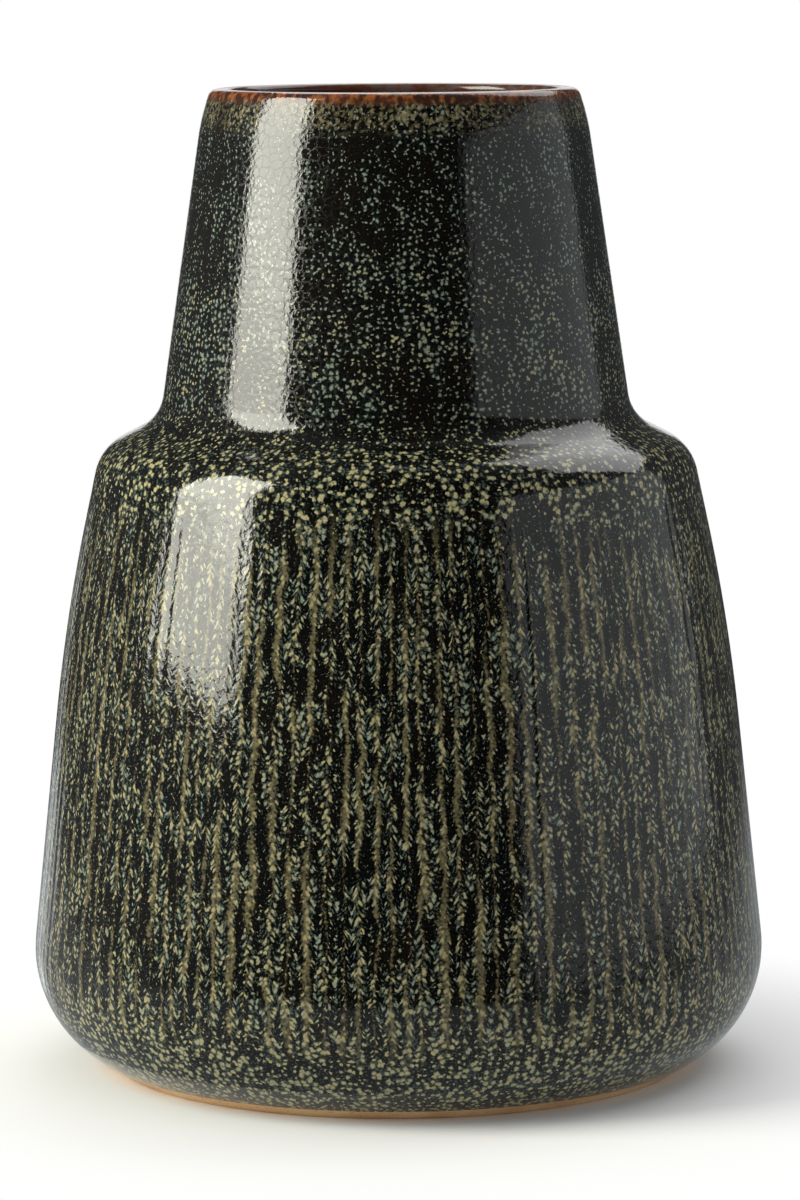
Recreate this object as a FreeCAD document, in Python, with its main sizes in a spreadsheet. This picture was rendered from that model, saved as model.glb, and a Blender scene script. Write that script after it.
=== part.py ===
"""Bottle vase in glazed stoneware: a broad tapered belly, a narrow shoulder and a straight tapered neck.

The pot is one thick-walled turned form that stands on a bare foot ring. A thin dark glaze covers it
outside, down to a line just above the foot, and a second glaze lines it. Sizes are in millimetres.
"""
import FreeCAD, Part
import math
import os
import re
import Sketcher

os.makedirs("parts", exist_ok=True)
document = FreeCAD.newDocument("bottle_vase")

# The driving sizes. Widths, insets and tapers run sideways and rises upwards, from one corner of the
# finished, glazed outline to the next. A corner is where the straights on each side of a bend meet.
SIZES = {
    "belly_radius": 107.2,      # corner of the belly's bend, the broadest
    "band_width": 5.0,          # bare band, from the foot ring's edge out to the glaze's edge
    "band_rise": 3.0,           # table to the glaze's edge
    "underside_width": 19.9,    # glaze's edge out to the belly's corner
    "underside_rise": 12.2,     # glaze's edge up to the belly's corner
    "belly_bend_share": 0.95,   # how much of the underside the belly's bend takes up
    "lower_side_inset": 12.0,   # belly's corner in to the bow of the side
    "lower_side_rise": 113.3,   # belly's corner up to the bow
    "bow_run": 28.0,            # how far the bow curves, each way from its corner
    "upper_side_inset": 10.5,   # bow in to the shoulder's corner
    "upper_side_rise": 49.4,    # bow up to the shoulder's corner
    "shoulder_round": 14.5,     # rounding of the shoulder
    "shoulder_width": 17.3,     # shoulder's corner in to the root of the neck
    "shoulder_rise": 8.8,       # shoulder's corner up to the root of the neck
    "root_round": 11.9,         # rounding of the hollow at the root of the neck
    "neck_taper": 12.3,         # root of the neck in to the turn below the lip
    "neck_length": 84.3,        # root of the neck up to the turn
    "turn_run": 5.0,            # how far the turn curves, each way from its corner
    "lip_taper": 2.8,           # turn in to the outside of the lip
    "lip_rise": 9.0,            # turn up to the top of the lip
    "glaze_coat": 0.8,          # outer glaze, sideways
    "liner_coat": 0.6,          # glaze inside the pot, sideways
    "lip_coat": 0.5,            # glaze on top of the lip
    "neck_wall": 4.6,           # clay of the neck, sideways
    "belly_wall": 6.5,          # clay of the belly, sideways
    "slope_wall": 4.5,          # clay of the sloping shoulder, upright
    "floor_wall": 7.0,          # clay of the floor above the recess
    "floor_round": 22.0,        # hollow bend between the floor and the side, inside
    "ring_width": 8.0,          # foot ring, from its outer edge to the recess
    "ring_round": 1.2,          # softened edges of the foot ring
    "recess_depth": 3.0,        # recess inside the foot ring
    "recess_overrun": 2.0,      # how far below the pot the cut for the recess starts
    "crest_share": 0.60,        # highest line of the lip, as a share of its clay from the outer face
    "outer_lip_share": 0.80,    # lip's outer rounding, as a share of the way from its face to the crest
    "inner_lip_share": 0.70,    # lip's inner rounding, as a share of the way from its face to the crest
}
sheet = document.addObject("Spreadsheet::Sheet", "Sizes")
for row, (name, value) in enumerate(SIZES.items(), start=1):
    sheet.set(f"A{row}", name)
    sheet.set(f"B{row}", str(value))
    sheet.setAlias(f"B{row}", name)
document.recompute()


def bound(formula):
    """A formula as the document writes it, with the sheet's name before each size."""
    return re.sub(r"\b[a-z]\w*\b(?!\()", r"Sizes.\g<0>", formula)


def measure(formula):
    """What a formula comes to with the sheet's present sizes."""
    return sheet.evalExpression(bound(formula))


# Corners of the finished outline, as formulas for the radius from the axis and the level above the
# table. Each follows from the one before.
AXIS = "0"
TABLE = "0"
GLAZE_EDGE = ("belly_radius - underside_width", "band_rise")
FOOT = (f"{GLAZE_EDGE[0]} - band_width", TABLE)
BELLY = ("belly_radius", f"{GLAZE_EDGE[1]} + underside_rise")
BOW = (f"{BELLY[0]} - lower_side_inset", f"{BELLY[1]} + lower_side_rise")
SHOULDER = (f"{BOW[0]} - upper_side_inset", f"{BOW[1]} + upper_side_rise")
ROOT = (f"{SHOULDER[0]} - shoulder_width", f"{SHOULDER[1]} + shoulder_rise")
TURN = (f"{ROOT[0]} - neck_taper", f"{ROOT[1]} + neck_length")
MOUTH = (f"{TURN[0]} - lip_taper", f"{TURN[1]} + lip_rise")
FLOOR = (AXIS, "recess_depth + floor_wall")

# The lip's crest, where the outer glaze and the liner meet, on the glaze and on the clay.
CREST_RADIUS = f"{MOUTH[0]} - glaze_coat - crest_share * neck_wall"
CREST = (CREST_RADIUS, MOUTH[1])
CLAY_CREST = (CREST_RADIUS, f"{MOUTH[1]} - lip_coat")

# Edges of the foot ring's inner side, which slopes up into the recess at half a right angle.
RING_EDGE = (f"{FOOT[0]} - ring_width", TABLE)
RECESS_EDGE = (f"{RING_EDGE[0]} - recess_depth", "recess_depth")

# How much of both straights the belly's bend takes.
BELLY_RUN = "belly_bend_share * hypot(underside_width; underside_rise)"


def corner(place, inwards=(), upwards=(), downwards=(), rounding=None, run=None):
    """A corner of a section: its radius and level, each moved by the named sizes, and how it is eased.

    It is sharp, or has an arc of a given rounding, or one that takes a given run of both straights.
    """
    radius = " - ".join([place[0], *inwards])
    level = " - ".join([" + ".join([place[1], *upwards]), *downwards])
    return radius, level, rounding, run


def outside(skin, lip_skin):
    """Corners of the outside from the belly up to the lip, under the named skins."""
    mouth_radius = " - ".join([MOUTH[0], *skin])
    lip_round = f"outer_lip_share * ({mouth_radius} - ({CREST_RADIUS}))"
    return [
        corner(BELLY, inwards=skin, upwards=skin, run=BELLY_RUN),
        corner(BOW, inwards=skin, run="bow_run"),
        corner(SHOULDER, inwards=skin, downwards=skin, rounding="shoulder_round"),
        corner(ROOT, inwards=skin, downwards=skin, rounding="root_round"),
        corner(TURN, inwards=skin, run="turn_run"),
        corner(MOUTH, inwards=skin, downwards=lip_skin, rounding=lip_round),
    ]


def inside(skin, lip_skin):
    """Corners of the hollow from the middle of the floor up to the lip, over the named skins."""
    belly = ("glaze_coat", "belly_wall", *skin)
    slope = ("glaze_coat", "slope_wall", *skin)
    neck = ("glaze_coat", "neck_wall", *skin)
    mouth_radius = " - ".join([MOUTH[0], *neck])
    lip_round = f"inner_lip_share * ({CREST_RADIUS} - ({mouth_radius}))"
    return [
        corner(FLOOR, upwards=skin),
        corner((BELLY[0], FLOOR[1]), inwards=belly, upwards=skin, rounding="floor_round"),
        corner(BOW, inwards=belly, run="bow_run"),
        corner(SHOULDER, inwards=belly, downwards=slope, rounding="shoulder_round"),
        corner(ROOT, inwards=neck, downwards=slope, rounding="root_round"),
        corner(MOUTH, inwards=neck, downwards=lip_skin, rounding=lip_round),
    ]


GLAZED_OUTSIDE = outside(skin=(), lip_skin=())
CLAY_OUTSIDE = outside(skin=("glaze_coat",), lip_skin=("lip_coat",))
CLAY_INSIDE = inside(skin=(), lip_skin=("lip_coat",))
LINED_INSIDE = inside(skin=("liner_coat",), lip_skin=())

# How Sketcher numbers a curve's first and last point and the sketch's own two axes.
START, END = 1, 2
LEVEL_AXIS, UPRIGHT_AXIS = -1, -2
FACING = FreeCAD.Vector(0, 0, 1)


def origin_feature(body, role):
    """A body's own plane or axis, by its role."""
    return next(feature for feature in body.Origin.OriginFeatures if feature.Role == role)


def new_body(name):
    """One piece of the vase, with the vase's axis upright and the table at nought."""
    body = document.addObject("PartDesign::Body", name)
    body.Label = name
    body.Placement = FreeCAD.Placement()
    return body


def constrain(sketch, *terms, formula=None):
    """Adds a constraint, with its value bound to a formula if one is given."""
    if formula is None:
        sketch.addConstraint(Sketcher.Constraint(*terms))
        return
    index = sketch.addConstraint(Sketcher.Constraint(*terms, measure(formula)))
    sketch.setExpression(f"Constraints[{index}]", bound(formula))


def pin(sketch, curve, point, radius, level):
    """Holds a point at a radius from the axis and a level above the table."""
    for kind, formula, axis in (("DistanceX", radius, UPRIGHT_AXIS), ("DistanceY", level, LEVEL_AXIS)):
        if formula in (AXIS, TABLE):
            constrain(sketch, "PointOnObject", curve, point, axis)
        else:
            constrain(sketch, kind, LEVEL_AXIS, START, curve, point, formula=formula)


def bend(place, before, after, rounding, run):
    """The arc that eases a corner: its centre, its radius and where it leaves each straight."""
    back = (before - place).normalize()
    ahead = (after - place).normalize()
    half_angle = back.getAngle(ahead) / 2
    length = measure(rounding) / math.tan(half_angle) if rounding else measure(run)
    centre = place + (back + ahead).normalize() * (length / math.cos(half_angle))
    return centre, length * math.tan(half_angle), place + back * length, place + ahead * length


def add_arc(sketch, centre, radius, first, last):
    """Adds the arc between two points. Returns its number and which of its points each one is."""
    turns_left = (first - centre).cross(last - centre).dot(FACING) > 0
    ends = (first, last) if turns_left else (last, first)
    angles = [math.atan2(end.y - centre.y, end.x - centre.x) for end in ends]
    curve = sketch.addGeometry(Part.ArcOfCircle(Part.Circle(centre, FACING, radius), *angles))
    return (curve, START, END) if turns_left else (curve, END, START)


def draw_section(body, name, corners):
    """A closed section in the upright plane through the axis: across is the radius, up is the level.

    Straights run from corner to corner and back to the first. An eased corner keeps a point that both
    its straights aim at, and an arc that is tangent to them.
    """
    sketch = body.newObject("Sketcher::SketchObject", name)
    sketch.AttachmentSupport = [(origin_feature(body, "XZ_Plane"), "")]
    sketch.MapMode = "FlatFace"
    places = [FreeCAD.Vector(measure(radius), measure(level)) for radius, level, _, _ in corners]
    bends = {}
    for index, (_, _, rounding, run) in enumerate(corners):
        if rounding or run:
            after = places[(index + 1) % len(places)]
            bends[index] = bend(places[index], places[index - 1], after, rounding, run)

    straights = []
    for index, place in enumerate(places):
        following = (index + 1) % len(places)
        start = bends[index][3] if index in bends else place
        end = bends[following][2] if following in bends else places[following]
        straights.append(sketch.addGeometry(Part.LineSegment(start, end)))

    for index, (radius, level, rounding, run) in enumerate(corners):
        before, after = straights[index - 1], straights[index]
        if index not in bends:
            constrain(sketch, "Coincident", before, END, after, START)
            pin(sketch, after, START, radius, level)
            continue
        aim = sketch.addGeometry(Part.Point(places[index]), True)
        pin(sketch, aim, START, radius, level)
        constrain(sketch, "PointOnObject", aim, START, before)
        constrain(sketch, "PointOnObject", aim, START, after)
        arc, first, last = add_arc(sketch, *bends[index])
        constrain(sketch, "Tangent", before, END, arc, first)
        constrain(sketch, "Tangent", after, START, arc, last)
        if rounding:
            constrain(sketch, "Radius", arc, formula=rounding)
        else:
            constrain(sketch, "Distance", aim, START, arc, first, formula=run)
    return sketch


def turn_round(body, kind, name, sketch):
    """Turns a section once round the vase's axis, to add clay or glaze or to cut it away."""
    feature = body.newObject(kind, name)
    feature.Profile = sketch
    feature.ReferenceAxis = (origin_feature(body, "Z_Axis"), [""])
    feature.Angle = 360
    document.recompute()
    return feature


def round_edges(shape, places):
    """Names of the level round edges that lie at the given radii and levels."""
    wanted = [(measure(radius), measure(level)) for radius, level in places]
    names = []
    for number, edge in enumerate(shape.Edges, start=1):
        if isinstance(edge.Curve, Part.Circle):
            found = (edge.Curve.Radius, edge.Curve.Center.z)
            if any(math.dist(found, place) < Part.Precision.confusion() * found[0] for place in wanted):
                names.append(f"Edge{number}")
    return names


def make_stoneware_body():
    """The fired clay: wall, shoulder, neck, floor and foot ring in one turned piece."""
    body = new_body("stoneware_body")
    underside = [
        corner((AXIS, TABLE)),
        corner(FOOT, rounding="ring_round"),
        corner(GLAZE_EDGE, inwards=("glaze_coat",)),
    ]
    wall = draw_section(body, "wall_section", underside + CLAY_OUTSIDE + CLAY_INSIDE[::-1])
    thrown = turn_round(body, "PartDesign::Revolution", "thrown_pot", wall)

    below = "0 - recess_overrun"
    recess = draw_section(body, "recess_section", [
        corner((AXIS, below)),
        corner((RING_EDGE[0], below)),
        corner(RING_EDGE),
        corner(RECESS_EDGE),
        corner((AXIS, RECESS_EDGE[1])),
    ])
    trimmed = turn_round(body, "PartDesign::Groove", "trimmed_recess", recess)
    if trimmed.Shape.Volume >= thrown.Shape.Volume:
        raise RuntimeError("the recess cut nothing away")

    softened = body.newObject("PartDesign::Fillet", "softened_ring")
    softened.Base = (trimmed, round_edges(trimmed.Shape, [RING_EDGE, RECESS_EDGE]))
    softened.setExpression("Radius", bound("ring_round"))
    return body


def make_outer_glaze():
    """The dark coat outside, from the lip's crest down to its rolled edge above the foot."""
    body = new_body("outer_glaze")
    rolled_edge = [corner(GLAZE_EDGE, inwards=("glaze_coat",)), corner(GLAZE_EDGE, rounding="glaze_coat")]
    crest = [corner(CREST), corner(CLAY_CREST)]
    coat = draw_section(body, "coat_section", rolled_edge + GLAZED_OUTSIDE + crest + CLAY_OUTSIDE[::-1])
    turn_round(body, "PartDesign::Revolution", "outer_coat", coat)
    return body


def make_inner_glaze():
    """The lining, from the lip's crest down the neck and the belly and over the floor."""
    body = new_body("inner_glaze")
    crest = [corner(CLAY_CREST), corner(CREST)]
    coat = draw_section(body, "liner_section", CLAY_INSIDE + crest + LINED_INSIDE[::-1])
    turn_round(body, "PartDesign::Revolution", "liner_coat", coat)
    return body


pieces = [make_stoneware_body(), make_outer_glaze(), make_inner_glaze()]
document.recompute()

for item in document.Objects:
    faults = {"Invalid", "Error"} & set(item.State)
    if faults:
        raise RuntimeError(f"{item.Label} is {', '.join(sorted(faults))}")
for piece in pieces:
    shape = piece.Shape
    if shape.isNull() or not shape.isValid() or len(shape.Solids) != 1:
        raise RuntimeError(f"{piece.Label} is not one sound solid")

for piece in pieces:
    piece.Shape.exportStep(f"parts/{piece.Label}.step")
    box = piece.Shape.optimalBoundingBox()
    print(f"{piece.Label}: {piece.Shape.Volume:.0f} mm3, {box.XLength:.2f} wide, {box.ZMin:.2f} to {box.ZMax:.2f}")
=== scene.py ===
"""Bottle vase in glazed stoneware, dressed and lit as for a studio photograph. Sizes are in metres.

The sections follow the pot as it is made: the turned clay, the dark speckled glaze outside, the brown
glaze inside, and then the table, the studio and the camera.
"""
import bpy
import numpy as np
from mathutils import Matrix, Vector


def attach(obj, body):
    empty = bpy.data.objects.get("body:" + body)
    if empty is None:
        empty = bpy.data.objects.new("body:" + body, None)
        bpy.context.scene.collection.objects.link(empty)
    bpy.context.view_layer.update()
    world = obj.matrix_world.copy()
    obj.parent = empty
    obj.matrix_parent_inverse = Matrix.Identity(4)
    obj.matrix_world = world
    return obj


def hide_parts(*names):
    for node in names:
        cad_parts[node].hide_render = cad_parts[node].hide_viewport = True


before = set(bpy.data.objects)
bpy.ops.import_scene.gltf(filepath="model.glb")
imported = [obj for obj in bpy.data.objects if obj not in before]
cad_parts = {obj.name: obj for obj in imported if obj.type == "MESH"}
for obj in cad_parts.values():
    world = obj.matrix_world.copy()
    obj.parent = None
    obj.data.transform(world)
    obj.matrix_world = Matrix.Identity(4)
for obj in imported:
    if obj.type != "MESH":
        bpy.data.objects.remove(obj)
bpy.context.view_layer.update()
MM = 0.001

# The clay. One pot turned from stoneware on the wheel: foot ring, floor, belly, shoulder, neck and lip.
# The foot is trimmed with a tool once the clay is leather-hard, which leaves fine rings, and stays bare.
# Fired, it is a toasted tan with a fine sandy grain.

# Corners of the finished outline, where the straights on each side of a bend meet: radius and level.
GLAZE_EDGE = np.array([87.3, 3.0]) * MM
BELLY = np.array([107.2, 15.2]) * MM
BOW = np.array([95.2, 128.5]) * MM
SHOULDER = np.array([84.7, 177.9]) * MM
ROOT = np.array([67.4, 186.7]) * MM
TURN = np.array([55.1, 271.0]) * MM
MOUTH = np.array([52.3, 280.0]) * MM
GLAZE_COAT = 0.8 * MM
LIP_COAT = 0.5 * MM
NECK_WALL = 4.6 * MM
BELLY_WALL = 6.5 * MM
SLOPE_WALL = 4.5 * MM
CREST_SHARE = 0.60
CREST_RADIUS = MOUTH[0] - GLAZE_COAT - CREST_SHARE * NECK_WALL
OUTER_LIP_SHARE = 0.80
INNER_LIP_SHARE = 0.70
BELLY_RUN_SHARE = 0.95
BELLY_RUN = BELLY_RUN_SHARE * np.linalg.norm(BELLY - GLAZE_EDGE)
BOW_RUN = 28.0 * MM
TURN_RUN = 5.0 * MM
SHOULDER_ROUND = 14.5 * MM
ROOT_ROUND = 11.9 * MM
FLOOR_ROUND = 22.0 * MM
FLOOR_LEVEL = 10.0 * MM
FOOT = np.array([82.3, 0.0]) * MM
RING_EDGE = np.array([74.3, 0.0]) * MM
RECESS_EDGE = np.array([71.3, 3.0]) * MM
RECESS_MIDDLE = np.array([0.0, RECESS_EDGE[1]])
RING_ROUND = 1.2 * MM
# Where the clay's side meets the underside of the glaze's edge.
CLAY_EDGE = GLAZE_EDGE - np.array([GLAZE_COAT, 0.0])


def run_of(before, place, after, rounding):
    """How far from a corner its arc starts: the rounding over the tangent of half the corner's angle."""
    back = (before - place) / np.linalg.norm(before - place)
    ahead = (after - place) / np.linalg.norm(after - place)
    return rounding / np.tan(np.arccos(back @ ahead) / 2)


def eased(before, place, after, run, points):
    """Points of the arc that eases a corner, from a run before it to a run after it.

    The centre lies on the line that halves the corner, at the run over the cosine of half its angle, and
    the points turn evenly about it.
    """
    back = (before - place) / np.linalg.norm(before - place)
    ahead = (after - place) / np.linalg.norm(after - place)
    half = np.arccos(back @ ahead) / 2
    halving = (back + ahead) / np.linalg.norm(back + ahead)
    centre = place + halving * run / np.cos(half)
    first = np.arctan2(*(place + back * run - centre)[::-1])
    last = np.arctan2(*(place + ahead * run - centre)[::-1])
    sweep = (last - first + np.pi) % (2 * np.pi) - np.pi
    turn = first + np.linspace(0, sweep, points)
    return centre + run * np.tan(half) * np.column_stack([np.cos(turn), np.sin(turn)])


def outside_line(skin, lip_skin):
    """The outline from below the belly up to the lip's crest, moved in by a skin."""
    away = np.array([-skin, 0.0])
    slope = np.array([-skin, -skin])
    edge = GLAZE_EDGE + away
    belly = BELLY + np.array([-skin, skin])
    bow = BOW + away
    shoulder = SHOULDER + slope
    root = ROOT + slope
    turn = TURN + away
    mouth = MOUTH + np.array([-skin, -lip_skin])
    crest = np.array([CREST_RADIUS, mouth[1]])
    lip_round = OUTER_LIP_SHARE * (mouth[0] - CREST_RADIUS)
    return np.vstack([
        eased(edge, belly, bow, BELLY_RUN, 24),
        eased(belly, bow, shoulder, BOW_RUN, 12),
        eased(bow, shoulder, root, run_of(bow, shoulder, root, SHOULDER_ROUND), 16),
        eased(shoulder, root, turn, run_of(shoulder, root, turn, ROOT_ROUND), 16),
        eased(root, turn, mouth, TURN_RUN, 8),
        eased(turn, mouth, crest, run_of(turn, mouth, crest, lip_round), 12),
        crest[None],
    ])


def inside_line(skin, lip_skin):
    """The outline of the hollow from the middle of the floor up to the lip's crest, over a skin."""
    across = np.array([-GLAZE_COAT - BELLY_WALL - skin, 0.0])
    neck_across = np.array([-GLAZE_COAT - NECK_WALL - skin, 0.0])
    down = np.array([0.0, -GLAZE_COAT - SLOPE_WALL - skin])
    middle = np.array([0.0, FLOOR_LEVEL + skin])
    side = np.array([BELLY[0] + across[0], FLOOR_LEVEL + skin])
    bow = BOW + across
    shoulder = SHOULDER + across + down
    root = ROOT + neck_across + down
    mouth = MOUTH + neck_across + np.array([0.0, -lip_skin])
    crest = np.array([CREST_RADIUS, mouth[1]])
    lip_round = INNER_LIP_SHARE * (CREST_RADIUS - mouth[0])
    return np.vstack([
        middle[None],
        eased(middle, side, bow, run_of(middle, side, bow, FLOOR_ROUND), 20),
        eased(side, bow, shoulder, BOW_RUN, 20),
        eased(bow, shoulder, root, run_of(bow, shoulder, root, SHOULDER_ROUND), 16),
        eased(shoulder, root, mouth, run_of(shoulder, root, mouth, ROOT_ROUND), 16),
        eased(root, mouth, crest, run_of(root, mouth, crest, lip_round), 16),
        crest[None],
    ])


def spaced(line, longest):
    """The same line with points added evenly on each stretch that is longer than the longest step."""
    steps = np.linalg.norm(np.diff(line, axis=0), axis=1)
    counts = np.maximum(np.ceil(steps / longest).astype(int), 1)
    whole = np.repeat(np.arange(len(steps)), counts)
    share = (np.arange(counts.sum()) - np.repeat(np.cumsum(counts) - counts, counts)) / counts[whole]
    points = line[whole] + share[:, None] * (line[whole + 1] - line[whole])
    return np.vstack([points, line[-1:]])


def thinned(line):
    """Every third point of an outline and its last one, for sides that lie hidden against another layer."""
    return np.vstack([line[:-1:3], line[-1:]])


def turned_points(line, angles):
    """Every point of an outline at every angle: the radius times cosine and sine, and the level."""
    radius, level = line[:, :1], line[:, 1:]
    return np.stack([radius * np.cos(angles), radius * np.sin(angles), level + 0 * angles], axis=-1)


def skin_mesh(name, points, closed):
    """A mesh over rows of points that go round the pot. The rows close into a ring or end in two poles."""
    rows, columns = points.shape[:2]
    index = np.arange(rows * columns).reshape(rows, columns)
    above = np.roll(index, -1, axis=0)
    beside = np.roll(index, -1, axis=1)
    corner = np.roll(above, -1, axis=1)
    last = rows if closed else rows - 1
    quads = np.stack([index, beside, corner, above], axis=-1)[:last].reshape(-1, 4)
    vertices = points.reshape(-1, 3)
    faces = quads.tolist()
    if not closed:
        poles = points[[0, -1]].mean(axis=1)
        vertices = np.vstack([vertices, poles])
        first = np.full(columns, rows * columns)
        faces += np.stack([first, beside[0], index[0]], axis=-1).tolist()
        faces += np.stack([first + 1, index[-1], beside[-1]], axis=-1).tolist()
    mesh = bpy.data.meshes.new(name)
    mesh.from_pydata(vertices.tolist(), [], faces)
    mesh.shade_smooth()
    mesh.update()
    piece = bpy.data.objects.new(name, mesh)
    bpy.context.scene.collection.objects.link(piece)
    return piece


def even_angles(columns):
    """Angles once round the pot in equal steps."""
    return np.arange(columns) * 2 * np.pi / columns


CLAY_COLUMNS = 290
# The outline starts and ends this far from the axis, where a pole closes the skin.
POLE_RADIUS = 0.4 * MM
UNDERSIDE_STEP = 0.45 * MM
HIDDEN_STEP = 8 * MM

recess_run = run_of(RECESS_MIDDLE, RECESS_EDGE, RING_EDGE, RING_ROUND)
underside = np.vstack([
    np.array([[POLE_RADIUS, RECESS_EDGE[1]]]),
    eased(RECESS_MIDDLE, RECESS_EDGE, RING_EDGE, recess_run, 8),
    eased(RECESS_EDGE, RING_EDGE, FOOT, run_of(RECESS_EDGE, RING_EDGE, FOOT, RING_ROUND), 8),
    eased(RING_EDGE, FOOT, GLAZE_EDGE, run_of(RING_EDGE, FOOT, GLAZE_EDGE, RING_ROUND), 8),
    CLAY_EDGE[None],
])
fine_underside = spaced(underside, UNDERSIDE_STEP)
hollow = inside_line(0.0, LIP_COAT)[::-1]
hollow[-1, 0] = POLE_RADIUS
hidden = np.vstack([thinned(outside_line(GLAZE_COAT, LIP_COAT)), thinned(hollow)])
clay_line = np.vstack([fine_underside, spaced(hidden, HIDDEN_STEP)])
clay_points = turned_points(clay_line, even_angles(CLAY_COLUMNS))

# Trimming marks: rings across the recess, a fraction of a millimetre deep, that wind slowly inwards. Each
# is a cosine across the ring, and the tool's chatter makes it deeper three times a turn.
TRIM_DEPTH = 0.06 * MM
TRIM_PITCH = 1.9 * MM
CHATTER_LENGTH = 7 * MM
CHATTER_PER_TURN = 3
in_recess = clay_line[:, 0] < RECESS_EDGE[0] - 2 * RING_ROUND
in_recess &= np.arange(len(clay_line)) < len(fine_underside)
winding = clay_line[:, :1] / TRIM_PITCH - even_angles(CLAY_COLUMNS) / (2 * np.pi)
beat = CHATTER_PER_TURN * even_angles(CLAY_COLUMNS) + clay_line[:, :1] / CHATTER_LENGTH
chatter = 1 + 0.5 * np.sin(beat)
marks = TRIM_DEPTH * chatter * (0.5 + 0.5 * np.cos(2 * np.pi * winding))
clay_points[..., 2] += np.where(in_recess[:, None], marks, 0.0)

clay = skin_mesh("turned_clay", clay_points, closed=False)


class Field:
    """A number or colour that varies over a surface. Sums and products of fields become shader nodes."""

    def __init__(self, tree, socket):
        self.tree = tree
        self.socket = socket

    def arithmetic(self, operation, *others):
        """One node of arithmetic on this field and on others, which are fields or plain numbers."""
        made = add_node(self.tree, "Math", enumerate((self, *others)), operation=operation)
        return Field(self.tree, made.outputs[0])

    def __add__(self, other):
        return self.arithmetic("ADD", other)

    def __sub__(self, other):
        return self.arithmetic("SUBTRACT", other)

    def __mul__(self, other):
        return self.arithmetic("MULTIPLY", other)

    def __truediv__(self, other):
        return self.arithmetic("DIVIDE", other)

    def rises(self, low, high, start=0.0, end=1.0):
        """Goes smoothly from start to end as this field goes from low to high, and stays there beyond."""
        sockets = {"Value": self, "From Min": low, "From Max": high, "To Min": start, "To Max": end}
        made = add_node(self.tree, "MapRange", sockets, interpolation_type="SMOOTHSTEP")
        return Field(self.tree, made.outputs["Result"])


def feed(tree, socket, value):
    """Gives a socket a field, another node's output or a plain value."""
    if isinstance(value, Field):
        value = value.socket
    if isinstance(value, bpy.types.NodeSocket):
        tree.links.new(value, socket)
    else:
        socket.default_value = value


def add_node(tree, kind, inputs=(), **settings):
    """Adds a shader node, with its inputs as pairs of a socket's name or number and what feeds it."""
    made = tree.nodes.new("ShaderNode" + kind)
    for name, value in settings.items():
        setattr(made, name, value)
    for socket, value in dict(inputs).items():
        feed(tree, made.inputs[socket], value)
    return made


def blend_colours(tree, share, colour, other):
    """A colour that goes to another as the share goes from nought to one."""
    made = tree.nodes.new("ShaderNodeMix")
    made.data_type = "RGBA"
    feed(tree, made.inputs[0], share)
    feed(tree, made.inputs[6], colour)
    feed(tree, made.inputs[7], other)
    return made.outputs[2]


def cloudy(tree, place, size, detail=2.0):
    """Soft noise about a half, whose patches are about a given size across."""
    made = add_node(tree, "TexNoise", {"Vector": place, "Scale": 1 / size, "Detail": detail})
    return Field(tree, made.outputs["Fac"])


def new_finish(name):
    """A material with its tree, its surface shader and the place on the object."""
    material = bpy.data.materials.new(name)
    material.use_nodes = True
    tree = material.node_tree
    shader = tree.nodes["Principled BSDF"]
    place = tree.nodes.new("ShaderNodeTexCoord").outputs["Object"]
    return material, tree, shader, place


def srgb(red, green, blue):
    """A colour from the 0 to 255 values that a picture shows to the linear ones that a shader takes."""
    share = np.array([red, green, blue]) / 255
    linear = np.where(share <= 0.04045, share / 12.92, ((share + 0.055) / 1.055) ** 2.4)
    return (*linear.tolist(), 1.0)


CLAY_TAN = srgb(226, 190, 144)
CLAY_TOAST = srgb(214, 172, 124)
IRON_SPECK = srgb(120, 78, 48)
TOAST_PATCH = 14 * MM
SPECK_PITCH = 1.6 * MM
SAND_GRAIN = 0.5 * MM
SAND_RELIEF = 0.12 * MM


def fired_clay():
    """Bare toasted stoneware: tan, a little browner in patches, with iron specks and a sandy grain."""
    material, tree, shader, place = new_finish("fired_clay")
    toast = cloudy(tree, place, TOAST_PATCH, 3.0).rises(0.35, 0.65)
    colour = blend_colours(tree, toast, CLAY_TAN, CLAY_TOAST)
    grains = add_node(tree, "TexVoronoi", {"Vector": place, "Scale": 1 / SPECK_PITCH})
    speck = Field(tree, grains.outputs["Distance"]).rises(0.10, 0.17, 1.0, 0.0)
    colour = blend_colours(tree, speck, colour, IRON_SPECK)
    tree.links.new(colour, shader.inputs["Base Color"])
    shader.inputs["Roughness"].default_value = 0.75
    sand = cloudy(tree, place, SAND_GRAIN, 3.0)
    bump = add_node(tree, "Bump", {"Height": sand, "Strength": 0.35, "Distance": SAND_RELIEF})
    tree.links.new(bump.outputs["Normal"], shader.inputs["Normal"])
    return material


clay.data.materials.append(fired_clay())
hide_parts("stoneware_body")
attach(clay, "root")

# The outer glaze. A coat of dark iron glaze, under a millimetre thick, in which cream crystals grew as
# spots. Below the shoulder it ran down over a soft upright combing in the clay, which drew the spots
# into chains of arrowheads. It ends in a rolled edge above the foot and breaks to rust on the lip.

FLUTES = 132
COLUMNS_EACH = 5
FLUTE_DEPTH = 0.075 * MM
FLUTE_TOP = 172 * MM
FLUTE_BOTTOM = 14 * MM
TOP_FADE = 16 * MM
BOTTOM_FADE = 14 * MM
WAVER_LENGTH = 23 * MM
# The ridges stay this far inside the solid's surface, so that rounding never puts them outside it.
HAIR = 0.002 * MM
FRONT_STEP = 7.5 * MM
BACK_STEP = 30 * MM
rng = np.random.default_rng(7)

widths = 1 + 0.30 * rng.uniform(-1, 1, FLUTES)
flute_edges = np.concatenate([[0], np.cumsum(widths) / widths.sum()]) * 2 * np.pi - np.pi
phase = np.arange(FLUTES * COLUMNS_EACH) / COLUMNS_EACH
flute = np.floor(phase).astype(int)
around = np.interp(phase, np.arange(FLUTES + 1), flute_edges)

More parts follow.
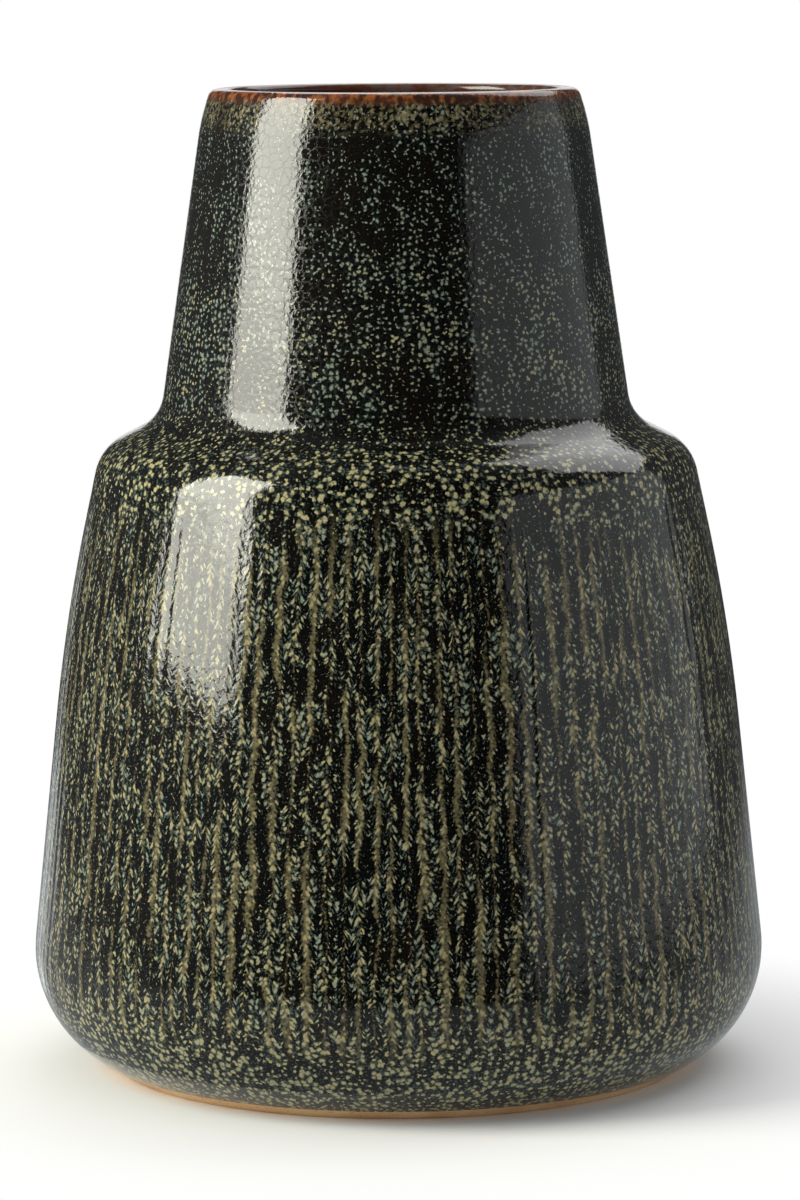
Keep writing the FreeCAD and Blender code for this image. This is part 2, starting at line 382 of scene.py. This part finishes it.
glazed_line = outside_line(0.0, 0.0)
edge_roll = eased(CLAY_EDGE, GLAZE_EDGE, BELLY, run_of(CLAY_EDGE, GLAZE_EDGE, BELLY, GLAZE_COAT), 6)
front_line = spaced(np.vstack([edge_roll, glazed_line]), FRONT_STEP)
clay_side = thinned(outside_line(GLAZE_COAT, LIP_COAT)[::-1])
back_line = spaced(np.vstack([clay_side, CLAY_EDGE[None]]), BACK_STEP)
coat_line = np.vstack([front_line, back_line])
on_front = (np.arange(len(coat_line)) < len(front_line))[:, None]
level = coat_line[:, 1:]


def smooth_step(value, low, high):
    """Nought below low, one above high, and a smooth rise between."""
    share = np.clip((value - low) / (high - low), 0, 1)
    return share * share * (3 - 2 * share)


# The relief of the combing: each groove's depth is a cosine across it, and wavers and fades along it.
depth_each = 1 + 0.75 * rng.uniform(-1, 1, FLUTES)[flute]
waver = 1 + 0.35 * np.sin(level / WAVER_LENGTH + rng.uniform(0, 2 * np.pi, FLUTES)[flute])
fades = smooth_step(level, FLUTE_BOTTOM, FLUTE_BOTTOM + BOTTOM_FADE)
fades = fades * (1 - smooth_step(level, FLUTE_TOP - TOP_FADE, FLUTE_TOP))
groove = 0.5 - 0.5 * np.cos(2 * np.pi * phase)
carved = on_front * fades * (groove * depth_each * waver * FLUTE_DEPTH + HAIR)
radius = coat_line[:, :1] - carved
coat_points = np.stack([radius * np.sin(around), -radius * np.cos(around), level + 0 * around], axis=-1)
glaze = skin_mesh("speckled_outer_glaze", coat_points, closed=True)


def give_flow(piece, along, around, phase):
    """Stores, at each corner of each face, the angle round the pot, the length along its outline and the
    count of grooves, so that the material can follow the way the glaze ran. The last column ends at the
    back, where the angle is half a turn and not minus half a turn.
    """
    ahead = np.append(around[1:], np.pi)
    next_phase = np.append(phase[1:], FLUTES)
    next_along = np.roll(along, -1)
    rows, columns = len(along), len(around)
    corners = np.empty((rows, columns, 4, 3), dtype=np.float32)
    corners[..., 0] = np.stack([around, ahead, ahead, around], axis=-1)
    corners[..., 1] = np.stack([along, along, next_along, next_along], axis=-1)[:, None, :]
    corners[..., 2] = np.stack([phase, next_phase, next_phase, phase], axis=-1)
    layer = piece.data.attributes.new("flow", "FLOAT_VECTOR", "CORNER")
    layer.data.foreach_set("vector", corners.ravel())


steps = np.linalg.norm(np.diff(coat_line, axis=0), axis=1)
give_flow(glaze, np.concatenate([[0], np.cumsum(steps)]), around, phase)

# How far apart the spots are in each zone, and the radius there at which they are as wide as high.
NECK_SPOT = 1.7 * MM
NECK_REACH = 60 * MM
SLOPE_SPOT = 2.3 * MM
SLOPE_REACH = 80 * MM
BELLY_SPOT = 2.1 * MM
BELLY_REACH = 99 * MM
NECK_FOOT = 187 * MM
SLOPE_FOOT = 164 * MM
ZONE_RAGGEDNESS = 10 * MM
# How far the glaze ran in a groove, where it lay thin and where it lay thick, and between what levels.
SHORT_RUN = 1.5 * MM
LONG_RUN = 2.7 * MM
RUN_END = 17 * MM
RUN_FULL_BELOW = 30 * MM
RUN_FULL_ABOVE = 150 * MM
RUN_START = 172 * MM
STREAK_LENGTH = 40 * MM
# How many fine spots, and how many domes of the glass, go to the width of one large spot's cell. The fine
# ones are shifted, so that they don't line up with the large ones.
FINE_SPOTS = 1.9
FINE_SHIFT = 7.3
DOMES = 0.6
# The spots' radius, as a share of their spacing, grows down the neck. Then it changes, going down, between
# each pair of levels: a dark ring at the neck's root, wide spots on the slope, and again above the foot.
NECK_TOP = 264 * MM
NECK_ROOT = 194 * MM
TOP_SPREAD = 0.36
ROOT_SPREAD = 0.46
SPREAD_CHANGES = [
    (194 * MM, 190 * MM, -0.10),
    (186 * MM, 181 * MM, 0.17),
    (168 * MM, 160 * MM, -0.07),
    (160 * MM, 150 * MM, 0.03),
    (46 * MM, 16 * MM, 0.17),
]
# How large the soft patches are that vary the pattern.
SEAM_GRAIN = 2.5 * MM
WANDER_LENGTH = 9 * MM
THICKNESS_PATCH = 16 * MM
JITTER_GRAIN = 0.8 * MM
GAP_SIZE = 3.2 * MM
BEAD_SIZE = 4.5 * MM
CREAM_PATCH = 5 * MM
DRIP_SIZE = 2.2 * MM
BLOTCH_SIZE = 1.3 * MM
RIDGES_APART = 3.7
# Where the belt of blotches under the lip begins, and where the rust on the lip begins and is full.
BELT_FOOT = 267 * MM
BELT_TOP = 273 * MM
RUST_LOW = 274.6 * MM
RUST_HIGH = 276.6 * MM
RUST_FADE = 2.8 * MM
CREASE_DEPTH = 0.016 * MM
RIPPLE_DEPTH = 0.010 * MM
IRON_BROWN = srgb(12, 9, 7)
IRON_BLACK = srgb(5, 6, 6)
CREASE_BROWN = srgb(36, 32, 24)
FINE_RIM = srgb(30, 40, 38)
FINE_CORE = srgb(82, 92, 80)
LARGE_RIM = srgb(48, 54, 44)
GREY_CREAM = srgb(112, 122, 114)
WARM_CREAM = srgb(152, 142, 106)
FROST = srgb(124, 140, 126)
SLOPE_CREAM = srgb(168, 160, 118)
STREAK_DARK = srgb(70, 68, 50)
STREAK_TAN = srgb(146, 134, 98)
BELT_OLIVE = srgb(130, 120, 86)
RUST_DARK = srgb(50, 30, 22)
RUST_BRIGHT = srgb(130, 72, 34)


def split(tree, vector):
    """The three parts of a vector as fields."""
    return [Field(tree, part) for part in add_node(tree, "SeparateXYZ", {"Vector": vector}).outputs]


def joined(tree, *parts):
    """A vector made of fields or numbers."""
    return add_node(tree, "CombineXYZ", enumerate(parts)).outputs[0]


def by_parts(tree, vector, factors):
    """A vector with each of its parts times a factor of its own."""
    return add_node(tree, "VectorMath", {0: vector, 1: factors}, operation="MULTIPLY").outputs[0]


def spots(tree, place, feature="F1"):
    """How far the nearest of many scattered points is, or the nearest edge between them. There is one
    point to each unit square of the place.
    """
    made = add_node(tree, "TexVoronoi", {"Vector": place, "Scale": 1.0, "Randomness": 0.85},
                    voronoi_dimensions="2D", feature=feature)
    return Field(tree, made.outputs["Distance"])


def by_zone(on_neck, on_slope, neck, slope, belly):
    """A value that is one on the neck, another on the slope below it and a third on the belly."""
    return on_neck * (neck - belly) + on_slope * (slope - belly) + belly


def speckled_glaze():
    """Glossy black-brown glass with cream spots, drawn into arrowheads where it ran over the combing."""
    material, tree, shader, place = new_finish("speckled_glaze")
    level = split(tree, place)[2]
    flow = add_node(tree, "Attribute", attribute_name="flow").outputs["Vector"]
    around, along, flutes = split(tree, flow)

    # The pattern's seam, down the back, is made ragged: near it some spots belong to the other side.
    loose = cloudy(tree, place, SEAM_GRAIN) - 0.5
    side = around.arithmetic("SIGN")
    to_seam = around.arithmetic("ABSOLUTE") * -1.0 + np.pi
    crossed = to_seam.arithmetic("LESS_THAN", loose * side * 0.12)
    around = around - side * crossed * (2 * np.pi)

    # The spots are larger on the slope. Each zone has its own girth, so that they stay round, and the
    # zones meet along a ragged line.
    zone_level = level + loose * ZONE_RAGGEDNESS
    on_neck = zone_level.arithmetic("GREATER_THAN", NECK_FOOT)
    on_slope = zone_level.arithmetic("GREATER_THAN", SLOPE_FOOT) - on_neck
    per_radian = by_zone(
        on_neck, on_slope, NECK_REACH / NECK_SPOT, SLOPE_REACH / SLOPE_SPOT, BELLY_REACH / BELLY_SPOT)
    per_metre = by_zone(on_neck, on_slope, 1 / NECK_SPOT, 1 / SLOPE_SPOT, 1 / BELLY_SPOT)

    # Where the glaze ran, what lies in a groove has moved further down than what lies on a ridge.
    wander = cloudy(tree, place, WANDER_LENGTH) - 0.5
    across = (flutes + wander * 0.9).arithmetic("FRACT")
    ridge = (across * 2.0 - 1.0).arithmetic("ABSOLUTE")
    in_groove = ridge * -1.0 + 1.0
    patches = cloudy(tree, place, THICKNESS_PATCH)
    ran = level.rises(RUN_END, RUN_FULL_BELOW) * level.rises(RUN_START, RUN_FULL_ABOVE)
    drop = in_groove * ran * patches.rises(0.35, 0.65, SHORT_RUN, LONG_RUN)

    # The spots' outlines are ragged, more so on the neck.
    jitter = add_node(tree, "TexNoise", {"Vector": place, "Scale": 1 / JITTER_GRAIN, "Detail": 1.0})
    jitter_across, jitter_along, jitter_tone = split(tree, jitter.outputs["Color"])
    raggedness = level.rises(180 * MM, 190 * MM, 0.6, 0.9)
    x = around * per_radian + (jitter_across - 0.5) * raggedness
    y = (along + drop) * per_metre + (jitter_along - 0.5) * raggedness
    cells = joined(tree, x, y, 0.0)
    fine_cells = joined(tree, x * FINE_SPOTS, y * FINE_SPOTS + FINE_SHIFT, 0.0)
    domes = spots(tree, joined(tree, x * DOMES, y * DOMES, 0.0), feature="DISTANCE_TO_EDGE")

    # Spots of two sizes. Their radius follows the level, patches on the neck, and small upright gaps, where
    # they thin out.
    gaps = cloudy(tree, by_parts(tree, place, (1.0, 1.0, 0.3)), GAP_SIZE)
    thinning = gaps.rises(0.38, 0.60, -0.34, 0.05)
    spread = level.rises(NECK_TOP, NECK_ROOT, TOP_SPREAD, ROOT_SPREAD)
    for upper, lower, change in SPREAD_CHANGES:
        spread = spread + level.rises(upper, lower, 0.0, change)
    spread = spread + patches.rises(0.36, 0.60, -0.13, 0.05) * level.rises(188 * MM, 196 * MM)
    spread = spread + thinning * level.rises(180 * MM, 192 * MM, 1.0, 0.6) - in_groove * ran * 0.05
    large = (spots(tree, cells) / spread).rises(1.0, 0.25)
    large = large * jitter_tone.rises(0.3, 0.7, 0.75, 1.1)
    small = (spots(tree, fine_cells) / spread).rises(0.95, 0.2)
    small = small * level.rises(192 * MM, 182 * MM, 0.45, 1.0)
    network = spots(tree, cells, feature="DISTANCE_TO_EDGE").rises(0.05, 0.0)

    # Some ridges hold an unbroken tan streak, and others hold beads of it.
    ridge_number = flutes.arithmetic("ROUND")
    held = cloudy(tree, joined(tree, ridge_number * RIDGES_APART, along / STREAK_LENGTH, 0.0), 1.0, 1.0)
    beads = cloudy(tree, place, BEAD_SIZE) * 0.5 + held * 1.6
    width = beads.rises(0.94, 1.20, 0.03, 0.40)
    streak = (ridge + width - 1.0 + (jitter_tone - 0.5) * 0.9).rises(-0.16, 0.34) * ran

    # The dark glass, then the fine spots, then the large ones with a dark rim and a paler core, which is
    # warmer on ridges and where the glaze lies thick, and then the streaks.
    ground = blend_colours(tree, patches.rises(0.35, 0.65), IRON_BROWN, IRON_BLACK)
    colour = blend_colours(tree, network * 0.3, ground, CREASE_BROWN)
    colour = blend_colours(tree, small.rises(0.0, 0.6), colour, FINE_RIM)
    colour = blend_colours(tree, small.rises(0.4, 1.0) * 0.6, colour, FINE_CORE)
    colour = blend_colours(tree, large.rises(0.0, 0.5), colour, LARGE_RIM)
    below_neck = level.rises(190 * MM, 184 * MM)
    warm = cloudy(tree, place, CREAM_PATCH) + ridge * ran * 0.25
    warm = warm + level.rises(164 * MM, 172 * MM) * below_neck * 0.12
    warm = warm.rises(0.38, 0.72) * level.rises(262 * MM, 205 * MM, 0.2, 1.0)
    core = blend_colours(tree, warm, GREY_CREAM, WARM_CREAM)
    frosted = in_groove.rises(0.7, 0.95) * ran * 0.4
    core = blend_colours(tree, frosted, core, FROST)
    thick = level.rises(160 * MM, 170 * MM) * below_neck + level.rises(36 * MM, 20 * MM)
    core = blend_colours(tree, thick * 0.6, core, SLOPE_CREAM)
    colour = blend_colours(tree, large.rises(0.35, 1.0), colour, core)
    mottling = large * 0.6 + jitter_tone.rises(0.3, 0.7) * 0.4
    mottled = blend_colours(tree, mottling, STREAK_DARK, STREAK_TAN)
    colour = blend_colours(tree, streak * 0.8, colour, mottled)

    # Under the lip the crystals lie in soft olive blotches, and on it the coat is thin, so that the iron
    # in the clay shows through as rust.
    drips = cloudy(tree, by_parts(tree, place, (1.0, 1.0, 0.35)), DRIP_SIZE)
    blotches = cloudy(tree, place, BLOTCH_SIZE)
    belt = level.rises(BELT_FOOT, BELT_TOP) * blotches.rises(0.44, 0.66)
    belt = belt * patches.rises(0.38, 0.55, 0.3, 1.0)
    colour = blend_colours(tree, belt * 0.6, colour, BELT_OLIVE)
    rust_edge = drips.rises(0.3, 0.7, RUST_LOW, RUST_HIGH)
    bare = level.rises(rust_edge, rust_edge + RUST_FADE)
    rusty = blend_colours(tree, drips.rises(0.42, 0.68), RUST_DARK, RUST_BRIGHT)
    colour = blend_colours(tree, bare, colour, rusty)
    tree.links.new(colour, shader.inputs["Base Color"])
    shader.inputs["IOR"].default_value = 1.55

    # The glass stands as low domes over the crystals, with creases between that are duller on the neck,
    # and is finely rippled.
    dull = level.rises(182 * MM, 190 * MM, 0.12, 0.26)
    feed(tree, shader.inputs["Roughness"], domes.rises(0.02, 0.12, dull, 0.06))
    bulge = domes.rises(0.0, 0.3)
    crease = add_node(tree, "Bump", {"Height": bulge, "Strength": 1.0, "Distance": CREASE_DEPTH})
    ripple = add_node(tree, "Bump", {"Height": jitter_tone, "Strength": 1.0, "Distance": RIPPLE_DEPTH})
    tree.links.new(crease.outputs["Normal"], ripple.inputs["Normal"])
    tree.links.new(ripple.outputs["Normal"], shader.inputs["Normal"])
    return material


glaze.data.materials.append(speckled_glaze())
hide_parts("outer_glaze")
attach(glaze, "root")

# The inner glaze. The pot is filled with a brown glaze and poured out, so it lines the hollow from the
# lip's crest to the floor. The soft rings that the thrower's fingers left in the clay show through it.

LINER_COAT = 0.6 * MM
LINER_COLUMNS = 300
WET_STEP = 2 * MM
AGAINST_CLAY_STEP = 12 * MM
RING_PITCH = 6.5 * MM
RING_DEPTH = 0.25 * MM
RINGS_BEGIN = 14 * MM
RINGS_FULL_ABOVE = 30 * MM
RINGS_FULL_BELOW = 262 * MM
RINGS_END = 276 * MM

wet_line = inside_line(LINER_COAT, 0.0)
wet_line[0, 0] = POLE_RADIUS
wet_line = spaced(wet_line, WET_STEP)
against_clay = inside_line(0.0, LIP_COAT)[::-1]
against_clay[-1, 0] = POLE_RADIUS
liner_line = np.vstack([wet_line, spaced(thinned(against_clay), AGAINST_CLAY_STEP)])
liner_points = turned_points(liner_line, even_angles(LINER_COLUMNS))[:, ::-1]

# The thrower's rings: a cosine up the wall that climbs one pitch a turn, and fades at floor and mouth.
liner_level = liner_line[:, 1:]
wet = (np.arange(len(liner_line)) < len(wet_line))[:, None]
wall_share = smooth_step(liner_level, RINGS_BEGIN, RINGS_FULL_ABOVE)
wall_share = wall_share * (1 - smooth_step(liner_level, RINGS_FULL_BELOW, RINGS_END)) * wet
winding = liner_level / RING_PITCH - even_angles(LINER_COLUMNS)[::-1] / (2 * np.pi)
ribs = RING_DEPTH * wall_share * (0.5 - 0.5 * np.cos(2 * np.pi * winding))
reach = np.linalg.norm(liner_points[..., :2], axis=-1, keepdims=True)
liner_points[..., :2] *= (reach + ribs[..., None]) / reach
liner = skin_mesh("brown_inner_glaze", liner_points, closed=False)

LINER_RED = srgb(92, 52, 36)
LINER_BROWN = srgb(60, 34, 26)
RUN_GREY = srgb(84, 84, 84)
BROWN_PATCH = 6 * MM
RUN_WIDTH = 4 * MM
LIP_RUNS_END = 268 * MM
LIP_RUNS_START = 279 * MM


def brown_glaze():
    """Glossy reddish-brown glass, darker in patches, with soft grey runs from the lip."""
    material, tree, shader, place = new_finish("brown_glaze")
    level = split(tree, place)[2]
    colour = blend_colours(tree, cloudy(tree, place, BROWN_PATCH, 3.0), LINER_RED, LINER_BROWN)
    runs = level.rises(LIP_RUNS_END, LIP_RUNS_START) * cloudy(tree, place, RUN_WIDTH).rises(0.45, 0.6)
    colour = blend_colours(tree, runs * 0.45, colour, RUN_GREY)
    tree.links.new(colour, shader.inputs["Base Color"])
    shader.inputs["Roughness"].default_value = 0.12
    return material


liner.data.materials.append(brown_glaze())
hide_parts("inner_glaze")
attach(liner, "root")

# The table and the studio. A round white table under a white surround, and a dark room with a floor of
# its own that only the gloss of the glaze sees. A tall soft light stands at the left with a low one
# under it, a wide dim board at the right, and a large soft light high up behind.

TABLE_RADIUS = 0.75
TABLE_THICKNESS = 20 * MM
TABLE_COLUMNS = 180

table_line = np.array([
    [POLE_RADIUS, -TABLE_THICKNESS],
    [TABLE_RADIUS, -TABLE_THICKNESS],
    [TABLE_RADIUS, 0.0],
    [POLE_RADIUS, 0.0],
])
table = skin_mesh("table", turned_points(table_line, even_angles(TABLE_COLUMNS)), closed=False)
table.data.shade_flat()


def seen_directly(tree):
    """One for what the camera sees, straight or in gloss or glass, and nought for light on the object."""
    path = tree.nodes.new("ShaderNodeLightPath")
    in_gloss = Field(tree, path.outputs["Is Glossy Ray"])
    in_gloss_or_glass = in_gloss.arithmetic("MAXIMUM", path.outputs["Is Transmission Ray"])
    return in_gloss_or_glass.arithmetic("MAXIMUM", path.outputs["Is Camera Ray"])


TABLE_WHITE = srgb(236, 236, 236)
SHADOW_INNER = 85 * MM
SHADOW_OUTER = 200 * MM


def white_table():
    """Matt white near the pot, where its shadow falls, going to the white of the surround further out."""
    material, tree, shader, place = new_finish("white_table")
    shader.inputs["Base Color"].default_value = TABLE_WHITE
    shader.inputs["Roughness"].default_value = 0.9
    flat = by_parts(tree, place, (1.0, 1.0, 0.0))
    away = Field(tree, add_node(tree, "VectorMath", {0: flat}, operation="LENGTH").outputs["Value"])
    share = away.rises(SHADOW_INNER, SHADOW_OUTER) * seen_directly(tree)
    white = add_node(tree, "Emission", {"Color": (1, 1, 1, 1), "Strength": 1.0})
    both = add_node(tree, "MixShader", {0: share, 1: shader.outputs[0], 2: white.outputs[0]})
    tree.links.new(both.outputs[0], tree.nodes["Material Output"].inputs["Surface"])
    return material


table.data.materials.append(white_table())

AMBIENT = 0.45
world = bpy.data.worlds.new("white_surround")
bpy.context.scene.world = world
world.use_nodes = True
surround = world.node_tree.nodes["Background"]
surround.inputs["Color"].default_value = (1, 1, 1, 1)
strength = seen_directly(world.node_tree).rises(0.0, 1.0, AMBIENT, 1.0)
feed(world.node_tree, surround.inputs["Strength"], strength)

# The dark room is a sphere, open in a slit behind the pot. Its lower half is pressed flat and makes the
# floor, a hair above the table, with a hole where the pot stands.
ROOM_RADIUS = 3.0
ROOM_COLUMNS = 61
ROOM_ROWS = 61
ROOM_OPENING = np.radians(170)
ROOM_BOTTOM = -0.49 * np.pi
ROOM_TOP = 0.499 * np.pi
FLOOR_GAP = 0.5 * MM

turn, rise = np.meshgrid(
    np.linspace(-ROOM_OPENING, ROOM_OPENING, ROOM_COLUMNS), np.linspace(ROOM_BOTTOM, ROOM_TOP, ROOM_ROWS))
facing = np.stack([np.sin(turn) * np.cos(rise), -np.cos(turn) * np.cos(rise), np.sin(rise)], axis=-1)
room_points = ROOM_RADIUS * facing
room_points[..., 2] = np.maximum(room_points[..., 2], FLOOR_GAP)
index = np.arange(ROOM_ROWS * ROOM_COLUMNS).reshape(ROOM_ROWS, ROOM_COLUMNS)
room_faces = np.stack([index[:-1, :-1], index[1:, :-1], index[1:, 1:], index[:-1, 1:]], axis=-1)
room_mesh = bpy.data.meshes.new("dark_room")
room_mesh.from_pydata(room_points.reshape(-1, 3).tolist(), [], room_faces.reshape(-1, 4).tolist())
room = bpy.data.objects.new("dark_room", room_mesh)
bpy.context.scene.collection.objects.link(room)

# How brightly the walls' painted light glows, by the angle from the camera's side in degrees, with the left
# below nought.
WALL_GLOW = [
    (-165, 0.05), (-145, 0.07), (-125, 0.12), (-95, 0.16), (-60, 0.11), (-50, 0.05), (-38, 0.02),
    (-25, 0.01), (0, 0.004), (35, 0.004), (110, 0.15), (125, 0.13), (145, 0.07), (165, 0.06),
]
COOL_WHITE = (0.92, 0.97, 1.0, 1.0)
FLOOR_GLOW = 0.28
STRIP_GLOW = 1.0
PATCH_GLOW = 0.42
BELLY_SIDE = 105 * MM


def dark_walls():
    """Near-black walls with painted light: a faint glow, as the lamps would spill on them, at the sides and
    behind the pot.
    """
    material, tree, _, place = new_finish("dark_walls")
    x, y, z = split(tree, place)
    turned = x.arithmetic("ARCTAN2", y * -1.0) / (2 * np.pi) + 0.5
    glow = tree.nodes.new("ShaderNodeValToRGB")
    feed(tree, glow.inputs[0], turned)
    ramp = glow.color_ramp
    for degrees, grey in WALL_GLOW:
        stop = ramp.elements.new(degrees / 360 + 0.5)
        stop.color = (grey, grey, grey, 1)
    ramp.elements.remove(ramp.elements[0])
    ramp.elements.remove(ramp.elements[-1])
    away = Field(tree, add_node(tree, "VectorMath", {0: place}, operation="LENGTH").outputs["Value"])

    # Painted light on the floor: it glows near the pot, a narrow strip of it behind on the left is painted
    # as if it caught light, and nearer the pot a wider painted patch is too. Both are mirrored along the
    # belly's left edge, so they fan out from there: aside is how far left of that edge a place lies, over
    # how far behind.
    aside = (x + BELLY_SIDE).arithmetic("DIVIDE", y * -1.0)
    strip = aside.rises(0.32, 0.35) * aside.rises(0.44, 0.41) * STRIP_GLOW
    patch = aside.rises(0.25, 0.40) * aside.rises(0.90, 0.60) * away.rises(0.95, 0.65) * PATCH_GLOW
    on_floor_behind = y.rises(0.0, 0.1) * z.rises(0.02, 0.0)
    # Painted light: the glow near the pot, plus the painted strip and patch behind it.
    painted_floor_light = away.rises(0.3, 0.8, FLOOR_GLOW, 0.0) + (strip + patch) * on_floor_behind
    shine = add_node(tree, "Emission", {"Color": COOL_WHITE, "Strength": painted_floor_light + glow.outputs[0]})
    tree.links.new(shine.outputs[0], tree.nodes["Material Output"].inputs["Surface"])
    return material


room.data.materials.append(dark_walls())
room.visible_camera = False
room.visible_diffuse = False
room.visible_shadow = False
room.visible_transmission = False

WARM_LIGHT = (1.0, 0.99, 0.87)
COOL_LIGHT = (0.93, 0.98, 1.0)
WHITE_LIGHT = (1.0, 1.0, 1.0)


def soft_light(name, centre, aim, width, height, glow, colour):
    """A flat light of a given width and height that faces its aim. Its glow is what a mirror would show."""
    data = bpy.data.lights.new(name, "AREA")
    data.shape = "RECTANGLE"
    data.size = width
    data.size_y = height
    data.color = colour
    data.energy = glow * np.pi * width * height
    lamp = bpy.data.objects.new(name, data)
    lamp.location = centre
    lamp.rotation_euler = (Vector(aim) - Vector(centre)).to_track_quat("-Z", "Y").to_euler()
    lamp.visible_camera = False
    bpy.context.scene.collection.objects.link(lamp)


soft_light("tall_light_left", centre=(-0.9, -0.33, 0.78), aim=(0.0, -0.33, 0.78),
           width=0.60, height=0.84, glow=11.2, colour=WARM_LIGHT)
soft_light("low_light_left", centre=(-0.9, -0.33, 0.275), aim=(0.0, -0.33, 0.275),
           width=0.60, height=0.17, glow=7.8, colour=WARM_LIGHT)
soft_light("dim_board_right", centre=(0.9, -0.31, 0.31), aim=(0.0, -0.31, 0.31),
           width=1.58, height=0.62, glow=0.5, colour=COOL_LIGHT)
soft_light("high_light_right", centre=(0.52, 0.89, 1.35), aim=(0.0, 0.0, 0.14),
           width=2.1, height=1.0, glow=2.2, colour=WHITE_LIGHT)

# The camera stands a metre and a half in front of the pot, a little above the lip, and looks slightly
# down at the middle of the belly.

CAMERA_DISTANCE = 1.4636
CAMERA_LEVEL = 0.3206
AIM_LEVEL = 0.1333
AIM_ASIDE = 0.9 * MM
ROLL = np.radians(-0.29)
LENS_LENGTH = 153.9
SENSOR_WIDTH = 36.0

camera_data = bpy.data.cameras.new("camera")
camera_data.sensor_width = SENSOR_WIDTH
camera_data.lens = LENS_LENGTH
camera = bpy.data.objects.new("camera", camera_data)
eye = Vector((0.0, -CAMERA_DISTANCE, CAMERA_LEVEL))
aimed = (Vector((AIM_ASIDE, 0.0, AIM_LEVEL)) - eye).to_track_quat("-Z", "Y").to_matrix().to_4x4()
camera.matrix_world = Matrix.Translation(eye) @ aimed @ Matrix.Rotation(ROLL, 4, "Z")
bpy.context.scene.collection.objects.link(camera)
bpy.context.scene.camera = camera
bpy.context.scene.view_settings.view_transform = "Standard"
